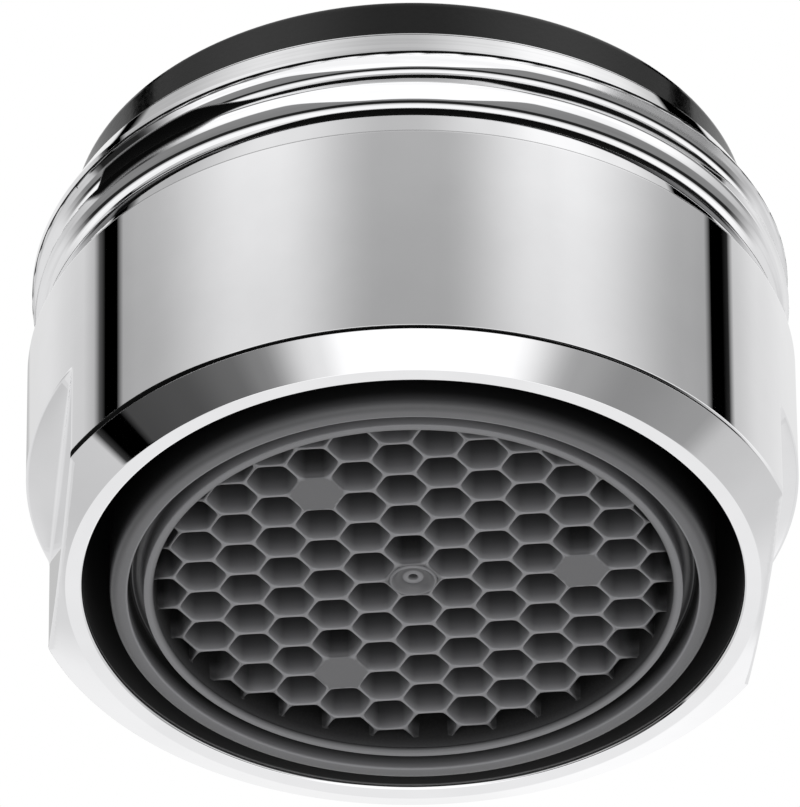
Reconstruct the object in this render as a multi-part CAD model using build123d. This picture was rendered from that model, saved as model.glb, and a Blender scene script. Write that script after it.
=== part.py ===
from build123d import *
import math
import os

# A tap aerator: a plated brass housing that screws into a spout and holds a moulded cartridge.
# Millimetres. The axis is Z and the thread is up. The lowest ring, the rim of the cartridge, stands on z = 0.

# Housing, turned from brass.
thread_diameter = 23.9
thread_pitch = 1.0
thread_flank = 30.0
thread_length = 1.30
lead_in_height = 1.22
lead_in_depth = 0.65
relief_length = 0.40
neck_bevel_height = 1.30
neck_wall = 0.58
skirt_step = 0.10
skirt_height = 8.43
foot_chamfer_height = 0.67
foot_ring_width = 0.55
flat_cut = 1.05
flat_height = 4.05
seat_depth = 2.60
seat_width = 0.50

# Sealing washer.
washer_thickness = 2.43
washer_width = 2.10
washer_clearance = 0.06

# Outlet sleeve, moulded in one piece with its honeycomb.
sleeve_proud = 0.30
sleeve_wall = 0.55
air_gap = 0.85
rim_bevel_width = 0.35
rim_bevel_height = 0.28
flange_thickness = 0.70
flange_clearance = 0.10
window_count = 4
window_sill = 0.60
window_height = 1.60
window_width = 7.00
groove_width = 0.60
groove_depth = 0.90
lip_width = 0.20
lip_back = 0.10
cells_back = 0.63
cells_top = 4.30
cell_pitch = 1.51
cell_wall = 0.14
cell_smallest_share = 0.12
cell_turn = -39.8
blind_ring = 2
gate_boss_diameter = 1.48
gate_boss_proud = 0.06
gate_mark_diameter = 0.68
gate_mark_depth = 0.12

# Mixing grid.
grid_height = 2.60
grid_rim = 0.70
grid_clearance = 0.04
grid_bar_pitch = 1.90
grid_bar_width = 0.40
grid_bar_height = 0.80

# Jet plate.
plate_thickness = 0.80
plate_clearance = 0.10
jet_diameter = 1.20
jet_circle_diameter = 11.0
jet_count = 6

# Filter crown.
filter_rim_thickness = 0.50
crown_height = 1.60
crown_slope = 0.80
crown_thickness = 0.50
crown_clearance = 0.20
mesh_pitch = 2.20
mesh_bar = 0.70

# Radii, worked inwards from the thread.
thread_r = thread_diameter / 2
thread_depth = 0.6134 * thread_pitch
root_r = thread_r - thread_depth
lead_in_r = thread_r - lead_in_depth
skirt_r = thread_r + skirt_step
flat_r = skirt_r - flat_cut
seat_r = root_r - neck_wall
bore_r = seat_r - seat_width
foot_r = bore_r + foot_ring_width
washer_r = seat_r - washer_clearance
washer_bore_r = washer_r - washer_width
flange_r = seat_r - flange_clearance
plate_r = seat_r - plate_clearance
sleeve_r = bore_r - air_gap
sleeve_bore_r = sleeve_r - sleeve_wall
lip_r = sleeve_bore_r - groove_width
field_r = lip_r - lip_width
grid_r = sleeve_bore_r - grid_clearance
crown_r = washer_bore_r - crown_clearance

# Heights, worked upwards from the rim.
foot_z = sleeve_proud
flat_z = foot_z + flat_height
skirt_z = foot_z + skirt_height
relief_z = skirt_z + neck_bevel_height
root_z = relief_z + relief_length
thread_z = root_z + thread_depth * math.tan(math.radians(thread_flank))
lead_in_z = thread_z + thread_length
top_z = lead_in_z + lead_in_height
shoulder_z = top_z - seat_depth
plate_z = shoulder_z + flange_thickness
filter_z = plate_z + plate_thickness
washer_z = filter_z + filter_rim_thickness
chamber_z = cells_top + grid_height


def turned(points):
    """A solid turned about Z from its half section, a closed run of (radius, height) corners."""
    return revolve(Plane.XZ * make_face(Polyline(*points, close=True)), Axis.Z)


def disc(radius, low, high):
    """A plain round disc on the axis between two heights."""
    return Pos(0, 0, low) * extrude(Circle(radius), high - low)


def make_housing():
    """Brass ring: thread above, plain skirt with two spanner flats below, shoulder inside for the cartridge."""
    ring = turned([
        (bore_r, foot_z),
        (foot_r, foot_z),
        (skirt_r, foot_z + foot_chamfer_height),
        (skirt_r, skirt_z),
        (root_r, relief_z),
        (root_r, root_z),
        (thread_r, thread_z),
        (thread_r, lead_in_z),
        (lead_in_r, top_z),
        (seat_r, top_z),
        (seat_r, shoulder_z),
        (bore_r, shoulder_z),
    ])
    milled = Box(2 * flat_cut, 2 * skirt_r, flat_z, align=(Align.MIN, Align.CENTER, Align.MIN))
    for side in (0, 180):
        ring -= Rot(0, 0, side) * Pos(flat_r, 0, 0) * milled
    return ring


def make_washer():
    """Flat rubber ring that seals against the spout and holds the cartridge down."""
    top_z = washer_z + washer_thickness
    return disc(washer_r, washer_z, top_z) - disc(washer_bore_r, washer_z, top_z)


def cell_centres():
    """Centres of the hexagonal cells, row by row, as far as the field reaches, with their lattice numbers."""
    reach = math.ceil(2 * field_r / cell_pitch)
    for row in range(-reach, reach + 1):
        for column in range(-reach, reach + 1):
            x = cell_pitch * (column + row / 2)
            y = cell_pitch * row * math.sqrt(3) / 2
            if math.hypot(x, y) < field_r + cell_pitch:
                yield x, y, row, column


def blind(row, column):
    """True for the middle cell and for three cells at 120 degrees that are left filled."""
    around = [(blind_ring, blind_ring), (blind_ring, -2 * blind_ring), (-2 * blind_ring, blind_ring)]
    return (row, column) == (0, 0) or (row, column) in around


def make_outlet_sleeve():
    """Moulded tube hung by its flange from the housing's shoulder: air windows above, honeycomb and lip below."""
    sleeve = turned([
        (0, cells_back),
        (field_r, cells_back),
        (field_r, lip_back),
        (lip_r, lip_back),
        (lip_r, groove_depth),
        (sleeve_bore_r, groove_depth),
        (sleeve_bore_r, 0),
        (sleeve_r - rim_bevel_width, 0),
        (sleeve_r, rim_bevel_height),
        (sleeve_r, shoulder_z),
        (flange_r, shoulder_z),
        (flange_r, plate_z),
        (sleeve_bore_r, plate_z),
        (sleeve_bore_r, cells_top),
        (0, cells_top),
    ])
    window = Box(bore_r, window_width, window_height, align=(Align.MIN, Align.CENTER, Align.MIN))
    for n in range(window_count):
        sleeve -= Rot(0, 0, 360 * n / window_count) * Pos(0, 0, chamber_z + window_sill) * window
    flat_to_flat = cell_pitch - cell_wall
    smallest = cell_smallest_share * flat_to_flat ** 2 * math.sqrt(3) / 2
    cells = []
    for x, y, row, column in cell_centres():
        if blind(row, column):
            continue
        cell = Pos(x, y) * RegularPolygon(flat_to_flat / 2, 6, major_radius=False, rotation=30)
        if math.hypot(x, y) + flat_to_flat / math.sqrt(3) > field_r:
            cell = cell & Circle(field_r)
        cells += [extrude(face, cells_top, dir=(0, 0, 1)) for face in cell.faces() if face.area > smallest]
    sleeve -= cells
    mark_z = cells_back - gate_boss_proud
    sleeve += disc(gate_boss_diameter / 2, mark_z, cells_back)
    sleeve -= disc(gate_mark_diameter / 2, mark_z, mark_z + gate_mark_depth)
    return Rot(0, 0, cell_turn) * sleeve


def make_grid():
    """Mixing grid: a rim with two layers of straight bars across it, at right angles."""
    inner_r = grid_r - grid_rim
    grid = disc(grid_r, cells_top, chamber_z) - disc(inner_r, cells_top, chamber_z)
    reach = math.floor((inner_r - grid_bar_width) / grid_bar_pitch)
    lines = Sketch()
    for n in range(-reach, reach + 1):
        lines += Pos(0, n * grid_bar_pitch) * Rectangle(2 * grid_r, grid_bar_width)
    bars = extrude(lines & Circle(grid_r - grid_rim / 2), grid_bar_height)
    grid += Pos(0, 0, cells_top) * bars
    return grid + Pos(0, 0, chamber_z - grid_bar_height) * Rot(0, 0, 90) * bars


def make_plate():
    """Jet plate: a disc with a ring of small round holes that split the water into jets."""
    plate = disc(plate_r, plate_z, filter_z)
    jets = Sketch() + PolarLocations(jet_circle_diameter / 2, jet_count) * Circle(jet_diameter / 2)
    return plate - Pos(0, 0, plate_z) * extrude(jets, plate_thickness)


def make_filter():
    """Strainer: a raised crown with square meshes, on a flat rim that the washer presses down."""
    crown_z = washer_z + crown_height
    crown_top_r = crown_r - crown_slope
    mesh_field_r = crown_top_r - crown_thickness
    crown = turned([
        (crown_r - crown_thickness, filter_z),
        (plate_r, filter_z),
        (plate_r, washer_z),
        (crown_r, washer_z),
        (crown_top_r, crown_z),
        (0, crown_z),
        (0, crown_z - crown_thickness),
        (mesh_field_r, crown_z - crown_thickness),
    ])
    mesh = mesh_pitch - mesh_bar
    reach = math.floor(mesh_field_r / mesh_pitch)
    holes = Sketch()
    for row in range(-reach, reach + 1):
        for column in range(-reach, reach + 1):
            if math.hypot(row, column) * mesh_pitch + mesh / math.sqrt(2) < mesh_field_r:
                holes += Pos(column * mesh_pitch, row * mesh_pitch) * Rectangle(mesh, mesh)
    return crown - Pos(0, 0, washer_z) * extrude(holes, crown_height)


parts = {
    "housing": make_housing(),
    "sealing_washer": make_washer(),
    "outlet_sleeve": make_outlet_sleeve(),
    "mixing_grid": make_grid(),
    "jet_plate": make_plate(),
    "filter_crown": make_filter(),
}

os.makedirs("parts", exist_ok=True)
for name, part in parts.items():
    export_step(part, f"parts/{name}.step")
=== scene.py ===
import math

import bmesh
import bpy
import numpy as np
from mathutils import Matrix


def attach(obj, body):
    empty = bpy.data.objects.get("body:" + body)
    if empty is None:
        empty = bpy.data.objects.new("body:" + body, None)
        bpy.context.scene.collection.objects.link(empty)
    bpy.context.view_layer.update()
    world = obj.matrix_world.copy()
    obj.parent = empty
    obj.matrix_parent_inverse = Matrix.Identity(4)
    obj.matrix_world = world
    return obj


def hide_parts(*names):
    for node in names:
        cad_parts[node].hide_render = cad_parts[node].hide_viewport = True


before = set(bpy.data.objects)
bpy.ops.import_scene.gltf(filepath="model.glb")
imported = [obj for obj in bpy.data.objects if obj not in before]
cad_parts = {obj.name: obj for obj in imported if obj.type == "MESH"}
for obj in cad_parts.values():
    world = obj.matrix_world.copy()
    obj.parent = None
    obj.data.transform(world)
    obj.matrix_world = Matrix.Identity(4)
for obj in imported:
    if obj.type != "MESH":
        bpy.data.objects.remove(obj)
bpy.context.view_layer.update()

# Housing. A ring turned from brass bar and plated with bright chrome. The outside thread is cut above a
# relief groove, two spanner flats are milled into the plain skirt, and a shoulder inside holds the cartridge.
# Sizes are in millimetres and radians. The groove starts and fades in turns from the front.
mm = 0.001
thread_r, lead_in_r = 11.95, 11.30
skirt_r, flat_r, foot_r, bore_r, seat_r = 12.05, 11.00, 10.807, 10.257, 10.757
foot_z, chamfer_z, flat_z, skirt_z = 0.30, 0.97, 4.35, 8.73
bevel_r, bevel_z, thread_z, lead_in_z, top_z, shoulder_z = 11.72, 9.63, 10.78, 12.084, 13.304, 10.704
relief_r, relief_z, relief_round = 11.482, 10.073, 0.70
thread_pitch, groove_half, groove_round, flank_tilt = 1.0, 0.55, 0.50, math.radians(52)
crest_round, ledge_rise, flat_round, chamfer_turn = 0.05, 0.18, 0.05, 0.09
groove_front_z, groove_start, groove_end = 11.43, (-0.88, -0.62), (0.30, 0.62)
groove_top_z, cone_low_z, cone_high_z = 12.70, 12.78, 13.18
front = math.radians(-95.5)
plating_colour = (0.80, 0.80, 0.81)


def soft_least(a, b, blend):
    """The lesser of two values, rounded off by a parabola where they differ by less than blend."""
    near = np.maximum(blend - np.abs(a - b), 0) / blend
    return np.minimum(a, b) - near ** 2 * blend / 4


def ease(low, high, value):
    """Smooth step: 0 below low, 1 above high, and 3t^2 - 2t^3 between them."""
    t = np.clip((value - low) / (high - low), 0, 1)
    return t * t * (3 - 2 * t)


def thread_radius(angle, height):
    """Radius of the threaded neck. A turned outline, made of a round relief, a flank, the crest and the
    lead-in cone, is cut by one right-hand groove with straight flanks and a round root, which starts in the
    relief and fades out as it climbs into the cone."""
    slope = math.tan(flank_tilt)
    hollow = np.sqrt(np.maximum(relief_round ** 2 - (height - relief_z) ** 2, 0))
    relief = relief_r + relief_round - hollow
    straight = np.interp(height, [relief_z, thread_z, lead_in_z, top_z],
                         [thread_r - slope * (thread_z - relief_z), thread_r, thread_r, lead_in_r])
    outline = np.where(height < relief_z + relief_round * math.sin(flank_tilt), relief, straight)
    turns = (angle - front) / (2 * np.pi)
    turns = turns + np.round((height - groove_front_z) / thread_pitch - turns)
    off = np.abs(height - groove_front_z - thread_pitch * turns)
    round_half = groove_round * math.sin(flank_tilt)
    flank = (groove_half - np.maximum(off, round_half)) * slope
    root = np.sqrt(groove_round ** 2 - np.minimum(off, round_half) ** 2) - groove_round * math.cos(flank_tilt)
    cut = -soft_least(-flank - root, 0 * off, crest_round)
    cut = cut * ease(*groove_start, turns) * (1 - ease(*groove_end, turns))
    return soft_least(outline, thread_r - cut, crest_round)


def rounded_outline(corners, fills=(), support=0.03, bend=5):
    """Closed run of (radius, height) points. Each corner (radius, height, cut) becomes a parabola that leaves
    the two straight runs at the cut's distance from the corner. Each run keeps a point close to both of its
    ends, so that flats stay flat in the shading, and fills adds points at given shares of a run."""
    corner = np.array(corners, float)
    place, cut = corner[:, :2], corner[:, 2:]
    back, ahead = np.roll(place, 1, 0) - place, np.roll(place, -1, 0) - place
    back /= np.linalg.norm(back, axis=1, keepdims=True)
    ahead /= np.linalg.norm(ahead, axis=1, keepdims=True)
    t = np.linspace(0, 1, bend)[None, :, None]
    start, end = (place + back * cut)[:, None], (place + ahead * cut)[:, None]
    bends = (1 - t) ** 2 * start + 2 * t * (1 - t) * place[:, None] + t ** 2 * end
    blocks = list(np.concatenate([start + back[:, None] * support, bends, end + ahead[:, None] * support], 1))
    for index, shares in dict(fills).items():
        run = place[(index + 1) % len(place)] - place[index]
        blocks[index] = np.concatenate([blocks[index], place[index] + np.asarray(shares)[:, None] * run])
    return np.concatenate(blocks)


def grid_faces(rows, columns, close_rows=True, close_columns=True):
    """Corner numbers of the squares of a grid of points that is stored row by row."""
    i = np.arange(rows if close_rows else rows - 1)[:, None]
    j = np.arange(columns if close_columns else columns - 1)[None, :]
    i_next, j_next = (i + 1) % rows, (j + 1) % columns
    faces = [i * columns + j, i * columns + j_next, i_next * columns + j_next, i_next * columns + j]
    return np.stack(faces, -1).reshape(-1, 4)


def make_housing_surface():
    """Surface of the angle about the axis and of the distance along the turned outline. The flats limit the
    radius to flat_r / |cos angle| below their ledge, and the neck takes its radius from the thread. Rows
    stand close at the ledges and in the thread, and columns stand close at the ends of the flats."""
    close_by = np.array([0.01, 0.1, 0.5])
    ledge_z = flat_z - ledge_rise / 2 + np.concatenate([
        -close_by[::-1], np.linspace(0, ledge_rise, 7), ledge_rise + close_by])
    edge_z = chamfer_z + chamfer_turn
    neck_z = np.concatenate([np.linspace(bevel_z + 0.01, relief_z - 0.03, 12),
                             np.linspace(relief_z, groove_top_z, 180),
                             np.linspace(cone_low_z, cone_high_z, 5)])
    outline = rounded_outline([
        (bore_r, foot_z, 0.09), (foot_r, foot_z, 0.03), (skirt_r - 0.045, chamfer_z - 0.024, 0.012),
        (skirt_r, edge_z, 0.012), (skirt_r, skirt_z, 0.03), (bevel_r, bevel_z, 0.012),
        (lead_in_r, top_z, 0.06), (seat_r, top_z, 0.05), (seat_r, shoulder_z, 0.04),
        (bore_r, shoulder_z, 0.04),
    ], {1: np.linspace(0.07, 0.90, 13), 3: (ledge_z - edge_z) / (skirt_z - edge_z),
        5: (neck_z - bevel_z) / (top_z - bevel_z)}, support=0.02)
    flat_end = math.acos(flat_r / skirt_r)
    flat_ends = np.array([flat_end, np.pi - flat_end, np.pi + flat_end, -flat_end])[:, None]
    angle = np.concatenate([np.linspace(0, 2 * np.pi, 260, endpoint=False),
                            (flat_ends + np.radians(np.linspace(-0.7, 0.7, 13))).ravel() % (2 * np.pi)])
    angle = np.unique(np.round(angle, 6))
    radius, height = outline[:, :1] + 0 * angle, outline[:, 1:] + 0 * angle
    least_cos = 0.2
    flat = soft_least(radius, flat_r / np.maximum(np.abs(np.cos(angle)), least_cos), flat_round)
    ledge_share = np.clip((height - flat_z) / ledge_rise + 0.5, 0, 1)
    radius = flat + (radius - flat) * ledge_share
    neck = np.isin(outline[:, 1].round(6), neck_z.round(6))
    radius[neck] = thread_radius(angle, height[neck])
    points = np.stack([radius * np.cos(angle), radius * np.sin(angle), height], -1)
    return points, grid_faces(*radius.shape)


def node(tree, kind, **values):
    """A shader node; values set its properties, or its inputs by name where it has no such property."""
    made = tree.nodes.new(kind)
    for key, value in values.items():
        if hasattr(made, key):
            setattr(made, key, value)
        else:
            made.inputs[key.replace("_", " ")].default_value = value
    return made


def new_material(name, **values):
    """A material with one Principled shader, whose even values are set on its own sockets."""
    material = bpy.data.materials.new(name)
    material.use_nodes = True
    shader = material.node_tree.nodes["Principled BSDF"]
    for key, value in values.items():
        shader.inputs[key.replace("_", " ")].default_value = value
    return material, material.node_tree, shader


def linked(source, target):
    """Sets a socket from another socket or from a plain number."""
    if isinstance(source, (int, float)):
        target.default_value = source
    else:
        target.id_data.links.new(source, target)


def math_node(tree, operation, *values):
    """One arithmetic node, fed by sockets or plain numbers."""
    made = node(tree, "ShaderNodeMath", operation=operation)
    for value, socket in zip(values, made.inputs):
        linked(value, socket)
    return made.outputs["Value"]


def step_node(tree, low, high, value, first=0.0, last=1.0):
    """Smooth step of a value between two limits, from first to last."""
    step = node(tree, "ShaderNodeMapRange", interpolation_type="SMOOTHSTEP", From_Min=low, From_Max=high,
                To_Min=first, To_Max=last)
    linked(value, step.inputs["Value"])
    return step.outputs["Result"]


def band_node(tree, rise, fall, value):
    """1 between two places of a value, with a smooth step up at the first and down at the second."""
    return math_node(tree, "MULTIPLY", step_node(tree, *rise, value), step_node(tree, *fall, value, 1.0, 0.0))


def place_nodes(tree):
    """Place of a point of the part as Object coordinates, its distance from the axis, its angle about the
    axis and its height. The distance and the height are in millimetres."""
    place = node(tree, "ShaderNodeTexCoord").outputs["Object"]
    axes = node(tree, "ShaderNodeSeparateXYZ")
    linked(place, axes.inputs["Vector"])
    x, y, z = (math_node(tree, "MULTIPLY", axes.outputs[name], 1 / mm) for name in "XYZ")
    squares = math_node(tree, "MULTIPLY_ADD", x, x, math_node(tree, "MULTIPLY", y, y))
    return place, math_node(tree, "SQRT", squares), math_node(tree, "ARCTAN2", y, x), z


plating, tree, shader = new_material("chrome_plating")
place, radius, angle, height = place_nodes(tree)
noise_span = (0.3, 0.7)
wiped = node(tree, "ShaderNodeTexNoise", Scale=260.0, Detail=4.0, Roughness=0.6)
linked(place, wiped.inputs["Vector"])
sheen = step_node(tree, *noise_span, wiped.outputs["Fac"], 0.012, 0.03)
tone = step_node(tree, *noise_span, wiped.outputs["Fac"], 0.98, 1.02)

# Painted shade and painted dark reflections: the thread's groove, the relief, and hairlines at the bevel and
# at the chamfer are coloured near black. The bore is dull, and its near-black colour is painted shade. How
# far the dark runs is given in turns from the front, negative to the left.
left_end, left_start = (-0.164, -0.150), (-0.100, -0.062)
right_start, right_end, crest_start = (0.066, 0.100), (0.140, 0.165), (0.020, 0.055)
round_back, relief_thins, hairline_end = (0.30, 0.47), (-0.10, -0.03), (0.148, 0.172)
hairline_left, hairline_right = (-0.125, -0.055), (0.03, 0.10)
left_drop, crest_rise, relief_rise, hairline_drop, hairline_rise = -0.40, 0.16, 0.20, -0.09, 0.05
flank_share, bevel_share, line_share = 0.45, 0.45, 0.12
painted_shade_share, bore_shade_less, painted_shade_roughness = 0.99, -0.03, 0.8
# The bore: dull and not metallic, and coloured near black as painted shade.
dull_bore_painted_shade = math_node(tree, "MULTIPLY", step_node(tree, bore_r + 0.15, bore_r + 0.30, radius, 1.0, 0.0),
                 step_node(tree, foot_z + 0.06, foot_z + 0.20, height))
turns = math_node(tree, "MULTIPLY_ADD", angle, 0.5 / math.pi, -front / (2 * math.pi))
turns = math_node(tree, "WRAP", turns, 0.5, -0.5)
to_left = band_node(tree, left_end, left_start, turns)
to_right = band_node(tree, right_start, right_end, turns)
on_crest = math_node(tree, "MAXIMUM", to_left, band_node(tree, crest_start, right_end, turns))
off = math_node(tree, "SUBTRACT", math_node(tree, "SUBTRACT", height, groove_front_z), turns)
root_top = math_node(tree, "MULTIPLY_ADD", to_left, left_drop, off)
root_foot = math_node(tree, "MULTIPLY_ADD", on_crest, crest_rise, off)
in_root = math_node(tree, "MULTIPLY", step_node(tree, -0.08, 0.0, root_top, 1.0, 0.0),
                    step_node(tree, -groove_half, 0.12 - groove_half, root_foot))
at_crest = band_node(tree, (groove_half - 0.055, groove_half - 0.035),
                     (groove_half + 0.045, groove_half + 0.060), off)
on_flank = math_node(tree, "MULTIPLY", step_node(tree, 0.28, 0.36, off),
                     step_node(tree, groove_half - 0.06, groove_half - 0.04, off, flank_share, 0.0))
in_groove = math_node(tree, "MAXIMUM", math_node(tree, "MAXIMUM", in_root, at_crest),
                      math_node(tree, "MULTIPLY", on_flank, to_right))
from_front = math_node(tree, "ABSOLUTE", turns)
in_groove = math_node(tree, "MULTIPLY", in_groove, step_node(tree, *round_back, from_front, 1.0, 0.0))
risen = math_node(tree, "ADD", step_node(tree, *relief_thins, turns, relief_rise, 0.0), height)
in_relief = math_node(tree, "MULTIPLY", step_node(tree, relief_z, relief_z + 0.06, risen, 1.0, 0.0),
                      step_node(tree, bevel_z - 0.03, bevel_z - 0.01, height))
at_bevel = math_node(tree, "MULTIPLY", step_node(tree, skirt_z - 0.02, skirt_z, height, 0.0, bevel_share),
                     step_node(tree, skirt_z + 0.03, skirt_z + 0.05, height, 1.0, 0.0))
shifted = math_node(tree, "ADD", step_node(tree, *hairline_left, turns, hairline_drop, 0.0),
                    step_node(tree, *hairline_right, turns, 0.0, hairline_rise))
lower = math_node(tree, "ADD", height, shifted)
at_chamfer = math_node(tree, "MULTIPLY", step_node(tree, chamfer_z - 0.03, chamfer_z - 0.02, height),
                       step_node(tree, chamfer_z + 0.06, chamfer_z + 0.07, lower, 1.0, 0.0))
at_chamfer = math_node(tree, "MULTIPLY", at_chamfer, step_node(tree, skirt_r - 0.07, skirt_r - 0.05, radius))
at_chamfer = math_node(tree, "MULTIPLY", at_chamfer, step_node(tree, *hairline_end, turns, 1.0, 0.0))
# All the painted shade and painted dark reflections of the plating together.
painted_shade = math_node(tree, "MAXIMUM", math_node(tree, "MAXIMUM", dull_bore_painted_shade, at_bevel), at_chamfer)
painted_shade = math_node(tree, "MAXIMUM", painted_shade, math_node(tree, "MAXIMUM", in_groove, in_relief))

# Fine turning lines run round the neck above the bevel.
stretched = node(tree, "ShaderNodeVectorMath", operation="MULTIPLY")
linked(place, stretched.inputs[0])
line_scale = (150.0, 150.0, 9000.0)
stretched.inputs[1].default_value = line_scale
lines = node(tree, "ShaderNodeTexNoise", Scale=1.0, Detail=3.0, Roughness=0.6)
linked(stretched.outputs["Vector"], lines.inputs["Vector"])
turned = math_node(tree, "MULTIPLY", step_node(tree, bevel_z, bevel_z + 0.05, height),
                   step_node(tree, 0.32, 0.58, lines.outputs["Fac"], line_share, 0.0))
# The plating's colour darkens by the painted shade and by the turning lines.
shade_and_turning_lines = math_node(tree, "MULTIPLY_ADD", dull_bore_painted_shade, bore_shade_less,
                 step_node(tree, 0.0, 1.0, painted_shade, 0.0, painted_shade_share))
shade_and_turning_lines = math_node(tree, "MAXIMUM", shade_and_turning_lines, turned)
tint = node(tree, "ShaderNodeVectorMath", operation="SCALE")
tint.inputs[0].default_value = plating_colour
linked(math_node(tree, "MULTIPLY", tone, math_node(tree, "SUBTRACT", 1.0, shade_and_turning_lines)), tint.inputs["Scale"])
linked(tint.outputs["Vector"], shader.inputs["Base Color"])
linked(math_node(tree, "SUBTRACT", 1.0, dull_bore_painted_shade), shader.inputs["Metallic"])
linked(math_node(tree, "MULTIPLY_ADD", painted_shade, painted_shade_roughness, sheen), shader.inputs["Roughness"])


def add_piece(name, points, faces, material, slot, crease=32, **marks):
    """Puts points in millimetres and their faces into a mesh, welds seams and poles, and hangs it on the
    part. Marks are values for each point that the material reads."""
    mesh = bpy.data.meshes.new(name)
    mesh.from_pydata((points.reshape(-1, 3) * mm).tolist(), [], faces.tolist())
    for mark, values in marks.items():
        mesh.attributes.new(mark, "FLOAT", "POINT").data.foreach_set("value", np.ravel(values))
    welded = bmesh.new()
    welded.from_mesh(mesh)
    bmesh.ops.remove_doubles(welded, verts=welded.verts, dist=2e-7)
    bmesh.ops.recalc_face_normals(welded, faces=welded.faces)
    welded.to_mesh(mesh)
    welded.free()
    mesh.shade_smooth()
    mesh.set_sharp_from_angle(angle=math.radians(crease))
    mesh.materials.append(material)
    piece = bpy.data.objects.new(name, mesh)
    bpy.context.scene.collection.objects.link(piece)
    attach(piece, "root")
    return piece


housing = add_piece("housing_turned", *make_housing_surface(), plating, "plated_brass", crease=180)
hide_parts("housing")

# Outlet sleeve. One injection moulding in dark grey plastic, hung by its flange from the housing's shoulder.
# Four windows above let air in, and the rim, a groove and a thin lip below surround the honeycomb.
sleeve_r, sleeve_bore_r, lip_r, field_r, flange_r = 9.407, 8.857, 8.36, 8.057, 10.657
lip_z, groove_z, cells_z, cells_top, sill_z, head_z, flange_z = 0.10, 0.90, 0.63, 4.30, 7.504, 9.104, 11.404
window_width, window_count, lip_round = 7.0, 4, 0.12
cell_turn = math.radians(-39.8)
outlet_colour = (0.125, 0.125, 0.130, 1.0)


def moulded_finish():
    """Shared finish of the mouldings: a broad drift of tone, and fine grain in the gloss and the height."""
    group = bpy.data.node_groups.new("moulded_finish", "ShaderNodeTree")
    for name, kind, value in (("Colour", "NodeSocketColor", (0.1, 0.1, 0.1, 1.0)),
                              ("Drift", "NodeSocketFloat", 0.1),
                              ("Gloss Low", "NodeSocketFloat", 0.4),
                              ("Gloss High", "NodeSocketFloat", 0.5),
                              ("Grain Scale", "NodeSocketFloat", 9000.0)):
        group.interface.new_socket(name, in_out="INPUT", socket_type=kind).default_value = value
    for name, kind in (("Colour", "NodeSocketColor"), ("Roughness", "NodeSocketFloat"),
                       ("Height", "NodeSocketFloat")):
        group.interface.new_socket(name, in_out="OUTPUT", socket_type=kind)
    given, taken = node(group, "NodeGroupInput"), node(group, "NodeGroupOutput")
    place = node(group, "ShaderNodeTexCoord")
    broad = node(group, "ShaderNodeTexNoise", Scale=420.0, Detail=3.0)
    grain = node(group, "ShaderNodeTexNoise", Detail=2.0)
    centred = node(group, "ShaderNodeMath", operation="SUBTRACT")
    centred.inputs[1].default_value = 0.5
    drift = node(group, "ShaderNodeMath", operation="MULTIPLY_ADD")
    drift.inputs[2].default_value = 1.0
    tint = node(group, "ShaderNodeVectorMath", operation="SCALE")
    gloss = node(group, "ShaderNodeMapRange", From_Min=noise_span[0], From_Max=noise_span[1])
    for source, target in ((place.outputs["Object"], broad.inputs["Vector"]),
                           (place.outputs["Object"], grain.inputs["Vector"]),
                           (given.outputs["Grain Scale"], grain.inputs["Scale"]),
                           (broad.outputs["Fac"], centred.inputs[0]),
                           (centred.outputs["Value"], drift.inputs[0]),
                           (given.outputs["Drift"], drift.inputs[1]),
                           (given.outputs["Colour"], tint.inputs[0]),
                           (drift.outputs["Value"], tint.inputs["Scale"]),
                           (grain.outputs["Fac"], gloss.inputs["Value"]),
                           (given.outputs["Gloss Low"], gloss.inputs["To Min"]),
                           (given.outputs["Gloss High"], gloss.inputs["To Max"]),
                           (tint.outputs["Vector"], taken.inputs["Colour"]),
                           (gloss.outputs["Result"], taken.inputs["Roughness"]),
                           (grain.outputs["Fac"], taken.inputs["Height"])):
        group.links.new(source, target)
    return group


mould_finish = moulded_finish()


def moulded_material(name, colour, drift, gloss, grain_scale, grain_height):
    """A material with the moulded finish; gloss gives the lowest and the highest roughness."""
    material, tree, shader = new_material(name)
    finish = node(tree, "ShaderNodeGroup", node_tree=mould_finish, Colour=colour, Drift=drift,
                  Gloss_Low=gloss[0], Gloss_High=gloss[1], Grain_Scale=grain_scale)
    bump = node(tree, "ShaderNodeBump", Strength=0.35, Distance=grain_height)
    tree.links.new(finish.outputs["Colour"], shader.inputs["Base Color"])
    tree.links.new(finish.outputs["Roughness"], shader.inputs["Roughness"])
    tree.links.new(finish.outputs["Height"], bump.inputs["Height"])
    tree.links.new(bump.outputs["Normal"], shader.inputs["Normal"])
    return material


def turned_surface(outline, columns=192):
    """Surface of revolution of a closed outline about the axis."""
    angle = np.linspace(0, 2 * np.pi, columns, endpoint=False)
    radius, height = outline[:, :1] + 0 * angle, outline[:, 1:] + 0 * angle
    points = np.stack([radius * np.cos(angle), radius * np.sin(angle), height], -1)
    return points.reshape(-1, 3), grid_faces(*radius.shape)


def post_surface(outline, first, last, columns=25):
    """A closed outline carried along an arc from one angle to another; both ends close on its middle."""
    angle = np.linspace(first, last, columns)
    path = np.concatenate([angle[:1], angle, angle[-1:]])
    spread = np.ones(columns + 2)
    spread[[0, -1]] = 0
    section = outline.mean(0) + (outline - outline.mean(0))[:, None] * spread[:, None]
    points = np.stack([section[..., 0] * np.cos(path), section[..., 0] * np.sin(path), section[..., 1]], -1)
    return points.reshape(-1, 3), grid_faces(len(outline), columns + 2, close_columns=False)


def joined(*shells):
    """Several shells of points and faces as one."""
    starts = np.cumsum([0] + [len(points) for points, _ in shells])
    faces = [shell[1] + start for shell, start in zip(shells, starts)]
    return np.concatenate([points for points, _ in shells]), np.concatenate(faces)
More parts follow.
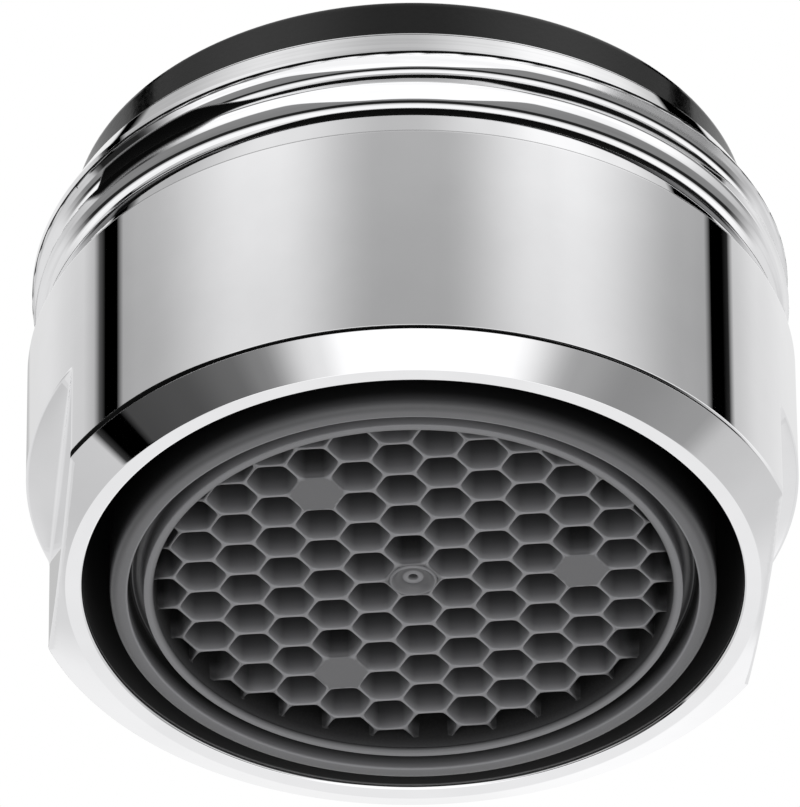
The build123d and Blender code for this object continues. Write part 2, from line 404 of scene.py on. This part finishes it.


# The per-point mark read here is painted light and shade: edges are lighter as painted highlights, and deep
# walls darker as painted shade and duller. The outside is darkened with painted shade as it runs up into the
# air gap.
outlet_plastic = moulded_material("outlet_moulding", outlet_colour, drift=0.10, gloss=(0.34, 0.46),
                                  grain_scale=14000.0, grain_height=4e-6)
tree = outlet_plastic.node_tree
base, roughness = (tree.nodes["Principled BSDF"].inputs[name] for name in ("Base Color", "Roughness"))
_, radius, _, height = place_nodes(tree)
# Painted shade on the outside of the sleeve, darker as it runs up into the air gap.
painted_gap_shade = math_node(tree, "MULTIPLY", step_node(tree, sleeve_r - 0.30, sleeve_r - 0.10, radius),
                   step_node(tree, -0.10, 0.65, height, 0.40, 0.95))
painted_mark = node(tree, "ShaderNodeAttribute", attribute_name="light_through").outputs["Fac"]
tint = node(tree, "ShaderNodeVectorMath", operation="SCALE")
linked(base.links[0].from_socket, tint.inputs[0])
linked(math_node(tree, "SUBTRACT", math_node(tree, "ADD", painted_mark, 1.0), painted_gap_shade), tint.inputs["Scale"])
linked(tint.outputs["Vector"], base)
dull = step_node(tree, -0.65, -0.25, painted_mark, 0.5, 0.0)
linked(math_node(tree, "ADD", roughness.links[0].from_socket, dull), roughness)

rim = rounded_outline([
    (field_r, lip_z, lip_round), (lip_r, lip_z, 0.05), (lip_r, groove_z, 0.12),
    (sleeve_bore_r, groove_z, 0.12), (sleeve_bore_r, 0, 0.05), (sleeve_r, 0, 0.26), (sleeve_r, sill_z, 0.04),
    (sleeve_bore_r, sill_z, 0.04), (sleeve_bore_r, cells_top, 0.05), (field_r, cells_top, 0.05),
], {2: (0.30, 0.42, 0.54, 0.66),
    9: (cells_top - np.array([1.2, 0.8, 0.6, 0.45, 0.3, 0.2])) / (cells_top - lip_z)})
neck = rounded_outline([
    (sleeve_bore_r, head_z, 0.04), (sleeve_r, head_z, 0.04), (sleeve_r, shoulder_z, 0.05),
    (flange_r, shoulder_z, 0.05), (flange_r, flange_z, 0.05), (sleeve_bore_r, flange_z, 0.05),
])
post = rounded_outline([
    (sleeve_bore_r, sill_z - 0.1, 0.02), (sleeve_r, sill_z - 0.1, 0.02),
    (sleeve_r, head_z + 0.1, 0.02), (sleeve_bore_r, head_z + 0.1, 0.02),
])
half_window = math.asin(window_width / 2 / sleeve_r)
quarter = 2 * math.pi / window_count
window_ends = cell_turn + quarter * np.arange(window_count) + half_window
posts = [post_surface(post, end, end + quarter - 2 * half_window) for end in window_ends]
points, faces = joined(turned_surface(rim), turned_surface(neck), *posts)
from_axis, depth = np.hypot(points[:, 0], points[:, 1]), points[:, 2]

# Painted light and shade on the sleeve's points: painted highlights on the lip and on the bore's edge, and
# painted shade down the inner wall and in the channel between them, but for a lighter floor beside the lip
# and a painted highlight line in the far corner.
edge_depth, seam = 0.20, 0.02
lip_light, bore_edge_light, corner_line_light, outer_wall_light = 0.60, 0.75, 1.5, -0.5
on_bore_edge = np.exp(-((from_axis - sleeve_bore_r - 0.03) / 0.04) ** 2)
on_edges = (depth < edge_depth) * (lip_light * (from_axis < lip_r + seam) + bore_edge_light * on_bore_edge)
on_inner_wall = np.interp(depth, [0.10, 0.11, 0.14, 0.19, 0.30, 0.45, 0.60, 1.20],
                          [0.45, 0.05, -0.35, -0.55, -0.72, -0.82, -0.90, -0.95])
between_walls = (from_axis > lip_r - seam) & (from_axis < sleeve_bore_r + seam) & (depth < groove_z + 0.05)
on_floor = (np.interp(from_axis - lip_r, [0.02, 0.12, 0.22, 0.34], [0.40, 0.40, -0.40, -0.80])
            + corner_line_light * np.exp(-((sleeve_bore_r - 0.15 - from_axis) / 0.015) ** 2))
on_outer_wall = outer_wall_light * (from_axis > sleeve_bore_r - 0.05) * ease(0.05, 0.10, depth)
in_channel = between_walls * (ease(0.20, 0.70, depth) * on_floor + on_outer_wall)
light = np.where(from_axis < field_r + lip_round + 0.005, on_inner_wall, on_edges + in_channel)
sleeve = add_piece("outlet_sleeve_tube", points, faces, outlet_plastic, "outlet_plastic", light_through=light)
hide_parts("outlet_sleeve")

# Honeycomb. Moulded with the sleeve: thin walls with fully rounded edges between hexagonal cells, which run
# back to the mixing grid. Three cells stay filled, and the middle one carries the mark of the mould's gate.
cell_pitch, cell_wall, edge_wall, smallest_share = 1.51, 0.15, 0.085, 0.12
buried, gate_room, lip_overlap = 0.10, 0.35, 0.02
corner_power = 12
blind_cells = {(0, 0), (2, 2), (2, -4), (-4, 2)}

# Neighbours of a cell, 60 degrees apart, and how far a filled one there darkens the wall and its edge with
# painted shade. Walls towards the back of the part count, because those are the ones that the light reaches.
neighbours = ((0, 1), (1, 0), (1, -1), (0, -1), (-1, 0), (-1, 1))
backing = np.array([0.0, 0.15, 1.0, 0.15, 0.0, 0.0])
edge_backing = np.array([0.0, 0.7, 1.0, 0.7, 0.0, 0.0])

# Painted light on a wall by height, lighter at the edge and darker deeper, and the painted shade that takes
# from it: how much, and over which span of degrees from the middle of a wall, of radius or of height.
lit_z = [cells_z, cells_z + 0.03, cells_z + 0.065, 0.78, 1.0, 1.3, 2.2]
lit_wall = [0.95, 0.95, 0.86, 0.60, 0.10, -0.14, -0.32]
backed_loss, beside_loss, corner_loss, lip_loss, lip_edge_loss = 0.38, 0.22, 0.16, 0.90, 0.80
darkest = -0.95
wall_span, corner_span, lip_span = (31, 26), (17, 29), (field_r - 0.60, field_r - 0.05)
backed_z, corner_z = (cells_z + 0.03, 0.95), (0.72, 1.0)
edge_shade_z, lip_edge_z = (0.82, cells_z + 0.06), (0.90, cells_z + 0.05)


def cell_boundary(centre, reach, edge_steps=6, arc_steps=10):
    """Closed boundary of one lattice hexagon, along the middle of its walls, clipped by a circle of radius
    reach about the axis. Each straight edge is divided evenly, so neighbours share their points."""
    turn = np.radians(30 + 60 * np.arange(6))
    corner = centre + cell_pitch / math.sqrt(3) * np.stack([np.cos(turn), np.sin(turn)], -1)
    along = np.roll(corner, -1, 0) - corner
    a, b = (along ** 2).sum(1), (corner * along).sum(1)
    inside = b ** 2 - a * ((corner ** 2).sum(1) - reach ** 2)
    root = np.sqrt(np.maximum(inside, 0))
    enter, leave = np.clip((-b - root) / a, 0, 1), np.clip((-b + root) / a, 0, 1)
    kept = np.flatnonzero((inside > 0) & (leave - enter > 1e-6))
    if len(kept) == 0:
        return None
    first = next((k for k in kept if enter[k] > 0 or (k - 1) % 6 not in kept), kept[0])
    share = np.arange(edge_steps)[:, None] / edge_steps
    runs = []
    for k in sorted(kept, key=lambda k: (k - first) % 6):
        start, end = corner[k] + enter[k] * along[k], corner[k] + leave[k] * along[k]
        runs.append(start + share * (end - start))
    if enter[first] > 0 or (first - 1) % 6 not in kept:
        start_angle, end_angle = math.atan2(*end[::-1]), math.atan2(*runs[0][0][::-1])
        sweep = (end_angle - start_angle) % (2 * math.pi)
        angle = start_angle + sweep * np.arange(arc_steps) / arc_steps
        runs.append(reach * np.stack([np.cos(angle), np.sin(angle)], -1))
    return np.concatenate(runs)


def outline_area(outline):
    """Area of a closed outline and its centroid, by the shoelace rule."""
    x, y = outline.T
    x_next, y_next = np.roll(x, -1), np.roll(y, -1)
    cross = x * y_next - x_next * y
    area = cross.sum() / 2
    return area, np.array([((x + x_next) * cross).sum(), ((y + y_next) * cross).sum()]) / (6 * area)


def cell_opening(centre, middle, boundary, wall):
    """Inner outline of a cell's wall, seen from a point inside it: the distance in each direction is the
    power mean of the distances to the six walls and to the lip, which rounds the corners."""
    away = boundary - middle
    away = away / np.linalg.norm(away, axis=1, keepdims=True)
    turn = np.radians(60 * np.arange(6))
    facing = np.stack([np.cos(turn), np.sin(turn)], -1)
    room = (cell_pitch - wall) / 2 - facing @ (middle - centre)
    nearness = np.maximum(away @ facing.T, 0) / room
    across = away @ middle
    to_lip = -across + np.sqrt(across ** 2 + (field_r + lip_overlap) ** 2 - middle @ middle)
    nearness = np.concatenate([nearness, 1 / to_lip[:, None]], 1)
    return middle + away / ((nearness ** corner_power).sum(1) ** (1 / corner_power))[:, None]


def painted_wall_light(centre, boundary, opening, height, backed):
    """Painted light and shade on an open cell's skin, by height and by direction from the cell's centre: a
    painted highlight at the thin edge and painted shade growing with depth, with more painted shade in the
    corners, near the lip and beside filled cells."""
    direction = np.degrees(np.arctan2(*(boundary - centre).T[::-1]))[:, None]
    away = np.abs((direction - 60 * np.arange(6) + 180) % 360 - 180)
    facing = ease(*wall_span, away) * backed
    shade_beside_filled = backed_loss * (facing * backing).max(1) + beside_loss * (backed * backing).max()
    edge_shade = (facing * edge_backing).max(1)
    near_lip = ease(*lip_span, np.hypot(*opening[0].T))
    in_corner = ease(*corner_span, away.min(1))
    height = height[:, None]
    light = np.interp(height, lit_z, lit_wall) * (1 - edge_shade * ease(*edge_shade_z, height))
    light = light - (lip_loss + lip_edge_loss * ease(*lip_edge_z, height)) * near_lip
    light = light - shade_beside_filled * ease(*backed_z, height)
    return np.maximum(light - corner_loss * in_corner * ease(*corner_z, height), darkest)


def cell_surface(centre, filled, backed):
    """Skin of one cell and the painted light and shade on it. An open cell runs from the middle of its walls
    over their half-round edge, up the walls and out again on top. A filled one closes below and on top, with
    room behind the gate's mark in the middle one. A strip closes the cells that the lip cuts."""
    boundary = cell_boundary(centre, field_r + buried)
    if boundary is None:
        return None
    seen = cell_boundary(centre, field_r)
    area, middle = outline_area(boundary if seen is None else seen)
    whole = (cell_pitch - cell_wall) ** 2 * math.sqrt(3) / 2
    if filled or seen is None or area < smallest_share * whole:
        middle = outline_area(boundary)[1]
        share = np.array([1, 0.93, 0.5, 0])[:, None]
        flat = middle + share[..., None] * (boundary - middle)
        level = np.zeros(flat.shape[:2])
        room = gate_room * (share < 0.9) * (np.hypot(*centre) < cell_wall)
        halves = [np.dstack([flat, level + cells_z + room]), np.dstack([flat[::-1], level + cells_top])]
        shells = [(half.reshape(-1, 3), grid_faces(*half.shape[:2], close_rows=False)) for half in halves]
        light = np.zeros(2 * level.size)
    else:
        bend = np.radians([0, 25, 50, 72, 90])
        share = np.concatenate([np.sin(bend), np.ones(7), [0]])
        height = np.concatenate([cells_z + edge_wall / 2 * (1 - np.cos(bend)),
                                 [0.76, 0.95, 1.3, 1.9, 2.8, 3.9, cells_top], [cells_top]])
        deep = ease(cells_z + edge_wall / 2, 1.9, height)[:, None, None]
        opening = ((1 - deep) * cell_opening(centre, middle, boundary, edge_wall)
                   + deep * cell_opening(centre, middle, boundary, cell_wall))
        skin = boundary + share[:, None, None] * (opening - boundary)
        skin = np.dstack([skin, np.repeat(height[:, None], len(boundary), 1)])
        shells = [(skin.reshape(-1, 3), grid_faces(*skin.shape[:2], close_rows=False))]
        light = painted_wall_light(centre, boundary, opening, height, backed).ravel()
    cut = np.hypot(*boundary.T) > field_r + buried - 1e-6
    if cut.any():
        count = len(boundary)
        start = np.arange(count)
        end = (start + 1) % count
        strip = np.column_stack([np.tile(boundary, (2, 1)), np.repeat([cells_z, cells_top], count)])
        side = np.stack([start, end, end + count, start + count], -1)
        shells.append((strip, side[cut & np.roll(cut, -1)]))
        light = np.concatenate([light, np.zeros(2 * count)])
    return joined(*shells) + (light,)


def make_honeycomb():
    """All the cells of the lattice x = pitch (column + row / 2), y = pitch row sqrt(3) / 2 that reach the
    field, turned about the axis to where the mould set them."""
    reach = math.ceil(2 * field_r / cell_pitch)
    cells = []
    for row in range(-reach, reach + 1):
        for column in range(-reach, reach + 1):
            centre = cell_pitch * np.array([column + row / 2, row * math.sqrt(3) / 2])
            if np.hypot(*centre) < field_r + buried + cell_pitch / math.sqrt(3):
                backed = np.array([(row + up, column + along) in blind_cells for up, along in neighbours])
                cells.append(cell_surface(centre, (row, column) in blind_cells, backed))
    cells = [cell for cell in cells if cell is not None]
    points, faces = joined(*[cell[:2] for cell in cells])
    turn = np.array([[math.cos(cell_turn), math.sin(cell_turn)], [-math.sin(cell_turn), math.cos(cell_turn)]])
    points[:, :2] = points[:, :2] @ turn
    return points, faces, np.concatenate([cell[2] for cell in cells])


points, faces, light = make_honeycomb()
add_piece("honeycomb", points, faces, outlet_plastic, "outlet_plastic", crease=50, light_through=light)

# The mark of the mould's gate: a shallow dish with a small ring round a hole, as radius and height.
gate = np.array([
    (0.000, 0.860), (0.075, 0.856), (0.115, 0.830), (0.140, 0.770), (0.175, 0.745), (0.245, 0.738),
    (0.300, 0.748), (0.345, 0.772), (0.410, 0.778), (0.500, 0.760), (0.590, 0.690), (0.645, 0.610),
    (0.685, 0.574), (0.725, 0.590), (0.750, 0.650), (0.750, 0.950), (0.000, 0.950),
])
# Painted light and shade on the gate's outline: painted shade in the hole, and painted highlights on the ring
# and on the boss's rounded edge.
gate_light = np.array([
    -0.75, -0.75, -0.6, -0.1, 1.0, 0.8, 0.9, -0.2, -0.25, -0.1, -0.1, 0.1, 0.6, 0.5, 0.1, 0, 0])
gate_columns = 48
add_piece("gate_boss", *turned_surface(gate, gate_columns), outlet_plastic, "outlet_plastic", crease=60,
          light_through=np.repeat(gate_light, gate_columns))

# Mixing grid, jet plate and filter crown. Three plain mouldings stacked in the cartridge above the honeycomb.
# Bars stir air into the water, the plate splits it into jets, and the crown keeps grit out.
inner_colours = {"mixing_grid": (0.16, 0.16, 0.165, 1.0), "jet_plate": (0.14, 0.14, 0.145, 1.0),
                 "filter_crown": (0.13, 0.13, 0.135, 1.0)}
for name, colour in inner_colours.items():
    finish = moulded_material(name + "_moulding", colour, drift=0.12, gloss=(0.40, 0.55),
                              grain_scale=12000.0, grain_height=4e-6)
    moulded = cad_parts[name]
    moulded.data.materials.clear()
    moulded.data.materials.append(finish)

# Sealing washer. A flat ring cut from black rubber, pressed into the top of the housing, where it holds the
# cartridge down and seals against the spout.
washer_r, washer_bore_r, washer_z, washer_top_z = 10.697, 8.597, 12.704, 15.134
rubber_colour, rubber_specular = (0.0008, 0.0008, 0.0008, 1.0), 0.38
rubber = moulded_material("black_rubber", rubber_colour, drift=0.35, gloss=(0.09, 0.15), grain_scale=7000.0,
                          grain_height=4e-6)
rubber.node_tree.nodes["Principled BSDF"].inputs["Specular IOR Level"].default_value = rubber_specular
washer_outline = rounded_outline([
    (washer_bore_r, washer_z, 0.10), (washer_r, washer_z, 0.10), (washer_r, washer_top_z, 0.22),
    (washer_bore_r, washer_top_z, 0.18),
], bend=8)
washer = add_piece("sealing_ring", *turned_surface(washer_outline), rubber, "washer_rubber")
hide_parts("sealing_washer")

# Stage. A pale floor under the part, seen only from above, since the photograph looks up from below it, and a
# soft white studio whose panels and dark flags stand round the part and show in the chrome.
camera_turn, camera_rise = math.radians(-5.5), math.radians(38.74)
floor_half = 3.0
floor_mesh = bpy.data.meshes.new("floor")
floor_corners = floor_half * np.array([(-1, -1, 0), (1, -1, 0), (1, 1, 0), (-1, 1, 0)])
floor_mesh.from_pydata(floor_corners.tolist(), [], [(0, 1, 2, 3)])
floor = bpy.data.objects.new("floor", floor_mesh)
bpy.context.scene.collection.objects.link(floor)
for ray in ("visible_diffuse", "visible_glossy", "visible_transmission", "visible_shadow"):
    setattr(floor, ray, False)
floor_paint, tree, shader = new_material("pale_floor", Roughness=0.9, Specular_IOR_Level=0.1)
place = node(tree, "ShaderNodeTexCoord")
mottle = node(tree, "ShaderNodeTexNoise", Scale=30.0, Detail=4.0)
paint = node(tree, "ShaderNodeMapRange", To_Min=0.80, To_Max=0.84)
side = node(tree, "ShaderNodeNewGeometry")
clear = node(tree, "ShaderNodeBsdfTransparent")
either = node(tree, "ShaderNodeMixShader")
tree.links.new(place.outputs["Object"], mottle.inputs["Vector"])
tree.links.new(mottle.outputs["Fac"], paint.inputs["Value"])
tree.links.new(paint.outputs["Result"], shader.inputs["Base Color"])
tree.links.new(side.outputs["Backfacing"], either.inputs["Fac"])
tree.links.new(shader.outputs["BSDF"], either.inputs[1])
tree.links.new(clear.outputs["BSDF"], either.inputs[2])
tree.links.new(either.outputs["Shader"], tree.nodes["Material Output"].inputs["Surface"])
floor_mesh.materials.append(floor_paint)

# The studio as the chrome sees it. Each height band has its own run of panels round the part, placed by the
# angle about an upright line through the point behind the part on the line of sight. A pair is an angle in
# degrees, or for the level bands a height, and the brightness there.
raised_panels = [
    (-180, 0.85), (-94, 0.80), (-91, 0.56), (-85, 0.56), (-81, 0.80), (-70, 0.86), (-58, 0.74), (-54.6, 0.55),
    (-53.8, 0.30), (-53.2, 0.0), (-49.2, 0.0), (-48.7, 0.45), (-44, 0.50), (-25, 0.87), (-21, 0.86),
    (-4, 0.44), (4, 0.44), (20, 0.87), (25, 0.92), (45, 0.46), (49.3, 0.43), (49.7, 0.0), (54.8, 0.0),
    (55.2, 0.66), (64, 0.84), (74, 0.90), (90, 0.82), (180, 0.85)]
upper_panels = [
    (-180, 0.85), (-70, 0.86), (-54, 0.74), (-51.2, 0.68), (-50.8, 0.0), (-46.6, 0.0), (-46.1, 0.40),
    (-40, 0.43), (-22, 0.76), (-18, 0.73), (-3, 0.49), (0, 0.49), (12, 0.73), (20, 0.93), (25, 0.95),
    (33, 0.82), (43.1, 0.53), (43.6, 0.0), (52.4, 0.0), (52.9, 0.70), (64, 0.84), (180, 0.85)]
level_bands = [
    (-0.85, 0.30), (-0.19, 0.28), (-0.12, 0.02), (0.06, 0.02), (0.15, 0.80), (0.26, 1.20), (0.52, 1.20)]
behind_left = [(-180, 1.00), (-130, 1.04), (-112, 1.03), (-98, 0.84)]
behind_right = [(110, 1.12), (140, 1.14), (180, 1.00)]
low_panels = behind_left + [
    (-88, 0.78), (-72, 0.68), (-55.1, 0.72), (-54.8, 0.0), (-49.2, 0.0), (-48.9, 0.07), (-38, 0.09),
    (-29, 0.16), (-24, 0.26), (-15, 0.95), (-10, 1.30), (15, 1.30), (27, 0.42), (36, 0.31), (50, 0.38),
    (56, 0.66), (72, 0.74), (88, 0.9), (98, 0.92)] + behind_right
flank_panels = behind_left + [
    (-57, 0.8), (-54, 0.02), (-45, 0.02), (-32, 1.3), (40, 1.3), (56, 0.7), (98, 0.86)] + behind_right
side_panels, overhead_gain, brightest, even_light = 0.90, 1.25, 1.18, 0.50

# Where one run of panels gives way to the next: heights for the upper ones, and for the lower ones heights
# over a shelf that dips towards the front. A white cone below the line of sight lights the foot's ring face.
upper_z, overhead_z, raised_z = (0.66, 0.70), (0.628, 0.648), (0.54, 0.60)
shelf_dip, flank_shelf, level_shelf = 0.60, (-0.335, -0.315), (-0.22, -0.16)
front_drop, front_half, side_start = 0.50, (6, 20), (58, 70)
cone_half, cone_core = math.radians(12), math.radians(5)

world = bpy.data.worlds.new("studio")
bpy.context.scene.world = world
world.use_nodes = True
tree = world.node_tree
tree.nodes.clear()


def panel_ramp(value, panels, limit):
    """Brightness of a run of panels: eased steps between the brightness at given places, which lie between
    -limit and limit."""
    ramp = node(tree, "ShaderNodeValToRGB")
    ramp.color_ramp.interpolation = "EASE"
    stops = ramp.color_ramp.elements
    while len(stops) < len(panels):
        stops.new(0.5)
    for stop, (place, level) in zip(stops, panels):
        stop.position = 0.5 + 0.5 * place / limit
        stop.color = (level, level, level, 1)
    linked(math_node(tree, "MULTIPLY_ADD", value, 0.5 / limit, 0.5), ramp.inputs["Fac"])
    return ramp.outputs["Color"]


def blend(share, first, second):
    """Mix of two brightnesses."""
    mixed = node(tree, "ShaderNodeMix", data_type="FLOAT")
    for name, value in (("Factor", share), ("A", first), ("B", second)):
        linked(value, mixed.inputs[name])
    return mixed.outputs["Result"]


direction = node(tree, "ShaderNodeTexCoord").outputs["Generated"]
seen_from_front = node(tree, "ShaderNodeVectorRotate", rotation_type="Z_AXIS", Angle=-camera_turn)
tree.links.new(direction, seen_from_front.inputs["Vector"])
axes = node(tree, "ShaderNodeSeparateXYZ")
tree.links.new(seen_from_front.outputs["Vector"], axes.inputs["Vector"])
x, y, z = axes.outputs["X"], axes.outputs["Y"], axes.outputs["Z"]
round_angle = math_node(tree, "ARCTAN2", x, math_node(tree, "SUBTRACT", math.cos(camera_rise), y))
degrees = math_node(tree, "DEGREES", round_angle)
raised = blend(step_node(tree, *upper_z, z), panel_ramp(degrees, raised_panels, 180),
               panel_ramp(degrees, upper_panels, 180))
overhead = step_node(tree, *overhead_z, z, 1.0, overhead_gain)
raised = math_node(tree, "MINIMUM", math_node(tree, "MULTIPLY", raised, overhead), brightest)
aside = math_node(tree, "ABSOLUTE", degrees)
level = blend(step_node(tree, *side_start, aside), panel_ramp(z, level_bands, 1), side_panels)
shelf = math_node(tree, "MULTIPLY_ADD", math_node(tree, "COSINE", round_angle), shelf_dip, z)
low = blend(step_node(tree, *flank_shelf, shelf), panel_ramp(degrees, low_panels, 180),
            panel_ramp(degrees, flank_panels, 180))
level_edge = math_node(tree, "SUBTRACT", shelf, step_node(tree, *front_half, aside, front_drop, 0.0))
panels = blend(step_node(tree, *level_shelf, level_edge), low, level)
panels = blend(step_node(tree, *raised_z, z), panels, raised)
under = math_node(tree, "SUBTRACT", math_node(tree, "MULTIPLY", y, math.cos(camera_rise)),
                  math_node(tree, "MULTIPLY", z, math.sin(camera_rise)))
panels = blend(step_node(tree, math.cos(cone_half), math.cos(cone_core), under), panels, 1.0)

rays = node(tree, "ShaderNodeLightPath")
mirrored = math_node(tree, "MAXIMUM", rays.outputs["Is Glossy Ray"], rays.outputs["Is Transmission Ray"])
brightness = blend(rays.outputs["Is Camera Ray"], blend(mirrored, even_light, panels), 1.0)
background = node(tree, "ShaderNodeBackground")
background.inputs["Color"].default_value = (1, 1, 1, 1)
linked(brightness, background.inputs["Strength"])
tree.links.new(background.outputs["Background"], node(tree, "ShaderNodeOutputWorld").inputs["Surface"])

for name, power, size, spot in (("lamp_above", 1.1, 0.5, (-0.25, -0.35, 0.45)),
                                ("lamp_left", 2.6, 0.8, (-0.46, -0.40, -0.155)),
                                ("lamp_right", 2.6, 0.8, (0.40, -0.45, -0.155))):
    lamp_data = bpy.data.lights.new(name, "AREA")
    lamp_data.energy, lamp_data.size = power, size
    lamp = bpy.data.objects.new(name, lamp_data)
    lamp.location = spot
    lamp.rotation_euler = (-lamp.location).to_track_quat("-Z", "Y").to_euler()
    lamp.visible_camera = lamp.visible_glossy = False
    bpy.context.scene.collection.objects.link(lamp)

# Camera. It stands 400 mm from the part, in front and below, and looks up into the outlet. The offsets of its
# line of sight and its small roll give the photograph's framing.
sight, roll, lens = 400.0, math.radians(0.45), 575.5
sight_aside, sight_below = 0.409, -5.48
right = np.array([1.0, 0.0, 0.0])
up = np.array([0.0, -math.sin(camera_rise), math.cos(camera_rise)])
ahead = np.array([0.0, math.cos(camera_rise), math.sin(camera_rise)])
right, up = (right * math.cos(roll) - up * math.sin(roll), right * math.sin(roll) + up * math.cos(roll))
stand = np.array([0, 0, cells_z]) - right * sight_aside - up * sight_below - ahead * sight
pose = np.eye(4)
pose[:3, :4] = np.stack([right, up, -ahead, stand * mm], -1)
camera_data = bpy.data.cameras.new("camera")
camera_data.lens, camera_data.sensor_width = lens, 36.0
camera_data.clip_start, camera_data.clip_end = 0.01, 20.0
camera = bpy.data.objects.new("camera", camera_data)
camera.matrix_world = Matrix.Rotation(camera_turn, 4, "Z") @ Matrix(pose.tolist())
bpy.context.scene.collection.objects.link(camera)
bpy.context.scene.camera = camera
bpy.context.scene.view_settings.view_transform = "Standard"
